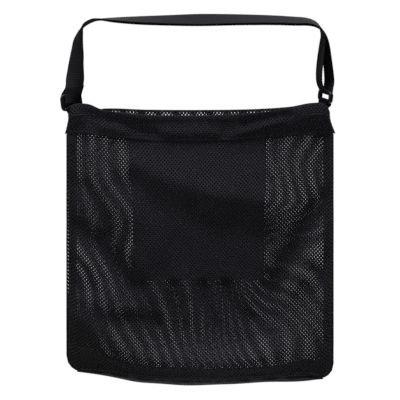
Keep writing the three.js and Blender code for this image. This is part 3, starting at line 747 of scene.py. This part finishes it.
for side in ("front", "back"):
    points, tris = netting(hemSurface(side), hem, hemOpen(side), hemThickness, 0, side == "back")
    addPiece(side + "_hem_band", points, tris, netYarn, "knitted_mesh", [side + "_hem"])


# Base, pocket and seam tapes of woven nylon; "weave" is the size that the weave is drawn over

base = {
    "halfLength": 172.0, "inset": 1.3, "groove": 4.0, "seamRise": 1.0, "foldShare": 0.45,
    "thickness": 0.9, "columns": 220, "rows": 44, "weave": (344.0, 58.0),
}


def baseSurface(u, v):
    # a trough: two edges turned up inside the net, and a flattened fold that hangs below the seam
    x = base["halfLength"] * (2 * u - 1)
    seam = bottomEdge(x) + base["seamRise"]
    away = np.abs(2 * v - 1)
    inFold = np.minimum(away / base["foldShare"], 1)
    inFlange = np.maximum(away - base["foldShare"], 0) / (1 - base["foldShare"])
    fold = curveThrough(bottomTable["x"], bottomTable["fold"], x)
    z = mix(fold, seam, inFold**2) + inFlange * flangeHeight(x)
    high = np.maximum(z, seam)
    wide = np.where(v < 0.5, panelDepth("front", x, high), panelDepth("back", x, high)) - base["inset"]
    gathers = np.sin(x / 6.5 + 2.2 * np.sin(x / 31) + 1.5 * inFold) + 0.6 * np.sin(x / 3.7 - 2 * inFold)
    pucker = 1.9 * gathers * np.sin(np.pi * inFold) + 0.3 * np.sin(x / 9 + 4 * inFlange)
    groove = base["groove"] * np.exp(-(((inFold - 0.88) / 0.1) ** 2)) * np.where(inFlange > 0, 0, 1)
    y = np.where(v < 0.5, -1, 1) * (wide * inFold - np.abs(pucker) * np.minimum(inFold * 2, 1) - groove)
    return stacked(x, y, z + 0.4 * np.sin(x / 12) * (1 - inFold))


pocket = {
    "top": -142.0, "height": 222.0, "halfTop": 97.0, "halfBottom": 90.0,
    "centreTop": -3.0, "centreBottom": -1.0, "fullness": 8.5, "seamGap": 1.8,
    "thickness": 0.8, "columns": 100, "rows": 100, "weave": (194.0, 222.0),
}


def pocketSurface(u, v):
    # a patch on the inside of the back panel, slack in its middle and held along its sides and bottom
    half = mix(pocket["halfTop"], pocket["halfBottom"], v)
    x = mix(pocket["centreTop"], pocket["centreBottom"], v) + half * (2 * u - 1)
    z = pocket["top"] - pocket["height"] * v
    full = (1 - np.abs(2 * u - 1) ** 4) * (1 - v**6)
    slack = full * (0.9 * np.sin(x / 21 + z / 33) + 0.6 * np.sin(x / 12 - z / 19))
    y = panelDepth("back", x, z) - pocket["seamGap"] - pocket["fullness"] * full + slack
    return stacked(x, y, z)


tape = {
    "width": 11.0, "inset": 3.0, "top": -163.0, "bottom": -462.0,
    "thickness": 1.0, "columns": 6, "rows": 120, "weave": (11.0, 299.0),
}


def tapeSurface(side):
    def surface(u, v):
        # a strip over the raw edges inside a side seam, slightly wavy
        x = side * (body["halfWidth"] - tape["inset"] - tape["width"] * u)
        z = mix(tape["top"], tape["bottom"], v)
        return stacked(x, 0.25 * np.sin(z / 14 + side) * u, z)
    return surface


for name, surface, cloth, node in (
    ("base_cloth", baseSurface, base, "base_panel"),
    ("pocket_cloth", pocketSurface, pocket, "inner_pocket"),
    ("left_seam_tape", tapeSurface(-1), tape, "left_binding"),
    ("right_seam_tape", tapeSurface(1), tape, "right_binding"),
):
    points, quads, uv = wall(surface, cloth)
    addPiece(name, points, quads, baseNylon, "woven_nylon", [node], uv)


# Strap and ring tab: one webbing section carried along a path

strapTable = {  # the doubled strap from the slider over the top to the ring
    "x": [-175.8, -175, -174.3, -173.6, -172.4, -171.6, -170.6, -168.4, -166.2, -161.4, -150, -138, -118,
          -84, -42, 0, 52, 98, 132, 150, 162, 169.5, 173.4, 174, 173.5, 173.5, 173.9, 174.4],
    "z": [-93, -82, -71.4, -60.2, -49, -37.8, -26.6, -17.6, -11.6, -5, 1, 2.1, 1.4,
          0.8, 0.9, 1.4, 1.7, 1.2, -0.2, -1.1, -4.6, -11.4, -21, -32.2, -51.8, -70, -83, -91],
    "heading": [106, 84, 68, 57, 49, 39, 31, 20, 11, 4] + [0] * 11 + [3, 8, 14, 21, 24, 25, 25],
    "dip": [-4] + [0] * 9 + [2, 7, 16, 26, 34, 41, 36, 31, 28, 24, 20, 15, 12, 12, 13, 13, 13, 13],
    "gap": [7.6, 4.5, 2.4] + [1.8] * 7 + [1.6, 1.6, 2.4, 2.8, 2.8, 2.6, 2.8, 2.8, 2.8, 2.8, 2.0, 1.7]
           + [3, 6, 10.4, 15, 16.2, 13],
    "innerTurn": [0] * 23 + [2, 6, 9, 10, 8],  # how much less the inner layer is turned near the ring
    "outerTurn": [0] * 23 + [2, 4, 4, 4, 2],  # how much more the outer layer is turned there
}
# real ribs are about 1.2 mm apart, too fine to show, so they are drawn at 2.4 mm
strap = {"width": 25.0, "thickness": 1.7, "rib": 2.4, "ribDepth": 0.26, "step": 0.48, "wrap": 3.4}
slider = {"width": 35.5, "height": 24.0, "depth": 3.5, "sideDepth": 3.5, "bar": 3.2, "side": 5.1,
          "x": -180.0, "z": -113.5, "heading": 130.0, "dip": -9.0, "bulge": 0.3}
ring = {"width": 34.0, "height": 18.0, "depth": 4.0, "sideDepth": 6.2, "bar": 4.0, "side": 4.4,
        "x": 175.6, "z": -105.4, "heading": 25.0, "dip": 13.0, "bulge": 0.3}
tab = {"x": 165.0, "z": -131.0, "heading": 10.0, "spread": 1.1, "width": 23.0}
sliderBar = (slider["height"] - slider["bar"]) / 2
ringBar = (ring["height"] - ring["bar"]) / 2


def nearEdge(heading, dip):  # direction of the webbing's near edge
    turn, drop = np.radians(heading), np.radians(dip)
    return stacked(np.sin(turn) * np.cos(drop), -np.cos(turn) * np.cos(drop),
                   -np.sin(drop) + 0 * turn)


def fittingAxes(fitting):  # across, up and out of the front of a slider or ring
    across = nearEdge(fitting["heading"], fitting["dip"])
    out = unit(np.cross(across, [0, 0, 1]))
    return np.stack([across, np.cross(out, across), out])


def inFitting(fitting, shift, height, forward):  # places given along a fitting's own axes
    local = stacked(*np.broadcast_arrays(shift, height, forward)).astype(float)
    return local @ fittingAxes(fitting) + [fitting["x"], 0, fitting["z"]]


def halfTurn(fitting, barHeight, above):  # webbing half round a bar, from its front to its back
    angle = np.linspace(0, np.pi, 9)
    height = barHeight + (1 if above else -1) * strap["wrap"] * np.sin(angle)
    return inFitting(fitting, 0, height, strap["wrap"] * np.cos(angle))


def strapRoute():
    # sewn end, through the slider, inner layer, round the ring, outer layer back,
    # loop round the slider's bar, tail
    order = np.arange(len(strapTable["x"]))
    fine = np.linspace(0, order[-1], 160)
    x, z, heading, dip, gap, innerTurn, outerTurn = (
        curveThrough(order, column, fine) for column in strapTable.values())
    middle = stacked(x, 0 * x, z)
    near, innerNear, outerNear = (nearEdge(heading + turn, dip) for turn in (0, -innerTurn, outerTurn))
    apart = unit(np.cross(near, np.gradient(middle, axis=0))) * gap[:, None] / 2
    sewn = np.array([[-170, 0, -137], [-171, 0, -131]])
    threaded = inFitting(slider, 0, [-10.6, -8, -6.4, -5, -1.5, 4, 10.4],
                         [3.3, 2.8, 0, -3.3, -5.2, -5.2, -5.1])
    roundRing = halfTurn(ring, ringBar, False)
    entering = inFitting(slider, 1.8, [sliderBar], [strap["wrap"] + 1.2])
    roundSlider = halfTurn(slider, 0, False)
    tail = inFitting(slider, 0, [6, 11.9], -strap["wrap"])
    sliderNear = nearEdge(slider["heading"], slider["dip"])
    ringNear = nearEdge(ring["heading"], ring["dip"])
    legs = [  # places along each leg, and its near edges, which stay the same in a fitting
        (sewn, nearEdge(np.array([91, 95]), np.array([0, -2]))),
        (threaded, 0 * threaded + sliderNear),
        (middle - apart, innerNear),
        (roundRing, 0 * roundRing + ringNear),
        ((middle + apart)[::-1], outerNear[::-1]),
        (entering, nearEdge(np.array([114.0]), np.array([-8.0]))),
        (roundSlider, 0 * roundSlider + sliderNear),
        (tail, 0 * tail + sliderNear),
    ]
    return (np.concatenate(column) for column in zip(*legs))


def tabRoute():
    # up from the hem, over the ring's lower bar and back down to the hem
    near, ringNear = nearEdge(tab["heading"], 0.0), nearEdge(ring["heading"], ring["dip"])
    share = np.linspace(0, 1, 5)[:, None]

    def leg(side):
        sewn = np.array([tab["x"] + side * tab["spread"], 0, tab["z"]])
        hung = inFitting(ring, 0, -ringBar - ring["bar"], -side * strap["wrap"])
        return mix(sewn, hung, share)

    turn = mix(near, ringNear, share)
    loop = halfTurn(ring, -ringBar, True)
    return (np.concatenate([leg(-1), loop, leg(1)[::-1]]),
            unit(np.concatenate([turn, 0 * loop + ringNear, turn[::-1]])))


def tubeFaces(stations, around, closed):
    # quads between the rings of a tube, and across its two ends where it isn't a closed loop
    grid = np.arange(stations * around).reshape(stations, around)
    rows = np.concatenate([grid, grid[:1]]) if closed else grid
    aside = np.roll(rows, -1, axis=1)
    quads = stacked(rows[:-1], aside[:-1], aside[1:], rows[1:])
    if closed:
        return quads.reshape(-1, 4)
    k = np.arange(around // 2 - 1)
    start = stacked(k, around - 1 - k, around - 2 - k, k + 1)
    end = (stations - 1) * around + start[:, ::-1]
    return np.concatenate([quads.reshape(-1, 4), start, end])


def carriedWebbing(places, nears, width):
    # A flat section with round edges, carried along a smooth curve through the places. Its thickness rises
    # and falls along the length in ribs.
    lengths = pathLengths(places)
    along = np.arange(0, lengths[-1], strap["step"])
    centre = np.stack([curveThrough(lengths, places[:, k], along) for k in range(3)], axis=-1)
    side = unit(np.stack([curveThrough(lengths, nears[:, k], along) for k in range(3)], axis=-1))
    normal = unit(np.cross(side, np.gradient(centre, axis=0)))
    across = np.array([-1, -0.985, -0.94, -0.6, -0.2, 0.2, 0.6, 0.94, 0.985, 1])
    swell = np.array([0.55, 0.9, 1, 0.96, 1, 1, 0.96, 1, 0.9, 0.55])
    profileAcross = np.concatenate([across, across[::-1]]) * width / 2
    profileOut = np.concatenate([swell, -swell[::-1]])
    hollow = 0.5 - 0.5 * np.cos(2 * np.pi * along / strap["rib"])
    ribs = strap["thickness"] / 2 - strap["ribDepth"] * hollow
    points = (centre[:, None] + side[:, None] * profileAcross[:, None]
              + normal[:, None] * (profileOut * ribs[:, None])[..., None])
    quads = tubeFaces(*points.shape[:2], False)
    flat = stacked(*np.broadcast_arrays(profileAcross[None, :], along[:, None])).reshape(-1, 2)
    return points.reshape(-1, 3), quads, flat, lengths[-1]


points, quads, uv, strapLength = carriedWebbing(*strapRoute(), strap["width"])
strapPiece = addPiece("strap_webbing", points, quads, strapYarn, "webbing", ["strap"], uv)
print("strap length", round(strapLength), "mm")
points, quads, uv, tabLength = carriedWebbing(*tabRoute(), tab["width"])
tabPiece = addPiece("ring_tab_webbing", points, quads, strapYarn, "webbing", ["ring_tab"], uv)


# Slider and ring: a rounded section carried round a frame

moulding = {
    "corner": 0.35, "edge": 0.45,  # powers that round the frame's corners and the section's edges
    "around": 24, "outline": 160, "stations": 120, "barStations": 24,
}


def carriedSection(fitting, path, inward, halfAcross, halfDepth, closed):
    # superellipse section: across the bar in the frame's plane, and out of that plane
    angle = (np.arange(moulding["around"]) + 0.5) * 2 * np.pi / moulding["around"]
    across = flattened(np.cos(angle), moulding["edge"]) * halfAcross[:, None]
    out = flattened(np.sin(angle), moulding["edge"]) * halfDepth[:, None]
    flat = path[:, None] + inward[:, None] * across[..., None]
    points = inFitting(fitting, flat[..., 0], flat[..., 1], out)
    return points.reshape(-1, 3), tubeFaces(*points.shape[:2], closed)


def fittingFrame(fitting):
    # a rectangle with round corners whose sides bow outwards
    halfWide = (fitting["width"] - fitting["side"]) / 2
    halfHigh = (fitting["height"] - fitting["bar"]) / 2
    angle = np.linspace(0, 2 * np.pi, moulding["outline"], endpoint=False)
    path = stacked(halfWide * flattened(np.cos(angle), moulding["corner"]),
                   halfHigh * flattened(np.sin(angle), moulding["corner"]))
    loop = np.concatenate([path, path[:1]])
    lengths = pathLengths(loop)
    even = np.linspace(0, lengths[-1], moulding["stations"], endpoint=False)
    path = np.stack([np.interp(even, lengths, loop[:, k]) for k in range(2)], axis=-1)
    bow = fitting["bulge"] * (1 - (path[:, 1] / halfHigh) ** 2) * (np.abs(path[:, 0]) / halfWide) ** 6
    path[:, 0] += np.sign(path[:, 0]) * bow
    along = unit(np.roll(path, -1, axis=0) - np.roll(path, 1, axis=0))
    inward = stacked(-along[:, 1], along[:, 0])
    upright = np.abs(along[:, 1]) ** 2
    return carriedSection(fitting, path, inward, mix(fitting["bar"], fitting["side"], upright) / 2,
                          mix(fitting["depth"], fitting["sideDepth"], upright) / 2, True)


def crossBar(fitting, height):
    halfWide = (fitting["width"] - fitting["side"]) / 2
    count = moulding["barStations"]
    path = stacked(np.linspace(-halfWide, halfWide, count), np.full(count, height))
    inward = np.tile([0.0, 1.0], (count, 1))
    return carriedSection(fitting, path, inward, np.full(count, fitting["bar"] / 2),
                          np.full(count, fitting["depth"] / 2), False)


def joined(meshes):  # several point and face arrays as one mesh
    starts = np.cumsum([0] + [len(points) for points, _ in meshes[:-1]])
    return (np.concatenate([points for points, _ in meshes]),
            np.concatenate([quads + start for (_, quads), start in zip(meshes, starts)]))


points, quads = joined([fittingFrame(slider), crossBar(slider, 0.0)])
addPiece("slider_frame", points, quads, fittingPlastic, "moulded_plastic", ["slider"])
points, quads = fittingFrame(ring)
addPiece("ring_frame", points, quads, fittingPlastic, "moulded_plastic", ["ring"])


# Stitches: short rods along the sewn lines

stitch = {"pitch": 3.0, "length": 2.3, "radius": 0.38, "sunk": 0.1, "sides": 6}


def stitchRow(path, outward):
    # Each stitch is a six-sided rod that tapers at both ends and lies on the path, sunk a little in
    # the cloth. Its ends are found by length along the path.
    lengths = pathLengths(path)
    starts = np.arange(0.5 * stitch["pitch"], lengths[-1] - stitch["pitch"], stitch["pitch"])

    def at(values, where):
        return np.stack([np.interp(where, lengths, values[:, k]) for k in range(3)], axis=-1)

    a, b = at(path, starts), at(path, starts + stitch["length"])
    out = at(outward, starts + stitch["length"] / 2)
    along = unit(b - a)
    side = unit(np.cross(along, out))
    up = np.cross(along, side)
    share = np.array([0, 0.2, 0.8, 1])
    girth = np.array([0.4, 1, 1, 0.4]) * stitch["radius"]
    angle = np.arange(stitch["sides"]) * 2 * np.pi / stitch["sides"]
    height = stitch["radius"] - stitch["sunk"]
    centre = mix(a[:, None], b[:, None], share[:, None]) + out[:, None] * height
    around = side[:, None] * np.cos(angle)[:, None] + up[:, None] * np.sin(angle)[:, None]
    points = centre[:, :, None] + around[:, None] * girth[:, None, None]
    one = tubeFaces(len(share), stitch["sides"], False)
    quads = one[None] + np.arange(len(a))[:, None, None] * len(share) * stitch["sides"]
    return points.reshape(-1, 3), quads.reshape(-1, 4)


def rowOn(surface, u, v, outward, lift):
    # a stitch row on a surface, on the side that looks towards outward
    u, v = np.broadcast_arrays(np.asarray(u, float), np.asarray(v, float))
    place, normal = surfaceFrame(surface, u, v)
    normal = normal * np.sign((normal * outward).sum(axis=-1, keepdims=True))
    return stitchRow(place + normal * lift, normal)


def onBackPanel(u, v):  # the pocket's outline carried to the outside of the back net
    x, _, z = np.moveaxis(pocketSurface(u, v), -1, 0)
    across = np.abs(x) / body["halfWidth"]
    return stacked(x, netDepth("back", x, z, across, backRipple(x, z)), z)


run = np.linspace(0, 1, 240)
towards = {side: np.array([0.0, faces[side]["outward"], 0.0]) for side in faces}
hemRows = [rowOn(hemSurface(side), mix(0.01, 0.99, run), 0.035, towards[side], hem["thickness"] / 2)
           for side in faces]
seamRows = [rowOn(netSurfaces[side], edge, mix(0.03, 0.96, run), towards[side], net["thickness"] / 2)
            for side in faces for edge in (0.013, 0.987)]
seamRows += [rowOn(netSurfaces[side], mix(0.05, 0.95, run), 0.988, towards[side], net["pressed"] / 2)
             for side in faces]
pocketLines = [(0.02, run * 0.985), (0.98, run * 0.985), (mix(0.02, 0.98, run), 0.985)]
pocketRows = [rowOn(pocketSurface, u, v, towards["front"], pocket["thickness"] / 2) for u, v in pocketLines]
pocketRows += [rowOn(onBackPanel, u, mix(0.09, 1, v), towards["back"], net["thickness"] / 2)
               for u, v in pocketLines]
tackRows = [rowOn(hemSurface(side), mix(*ends, run), row, towards[side], hem["thickness"] / 2)
            for side in faces for ends in ((0.012, 0.066), (0.915, 0.972)) for row in (0.2, 0.27)]
for name, rows in (("hem", hemRows), ("seam", seamRows), ("pocket", pocketRows), ("strap", tackRows)):
    addPiece(name + "_stitches", *joined(rows), stitchThread, "webbing")
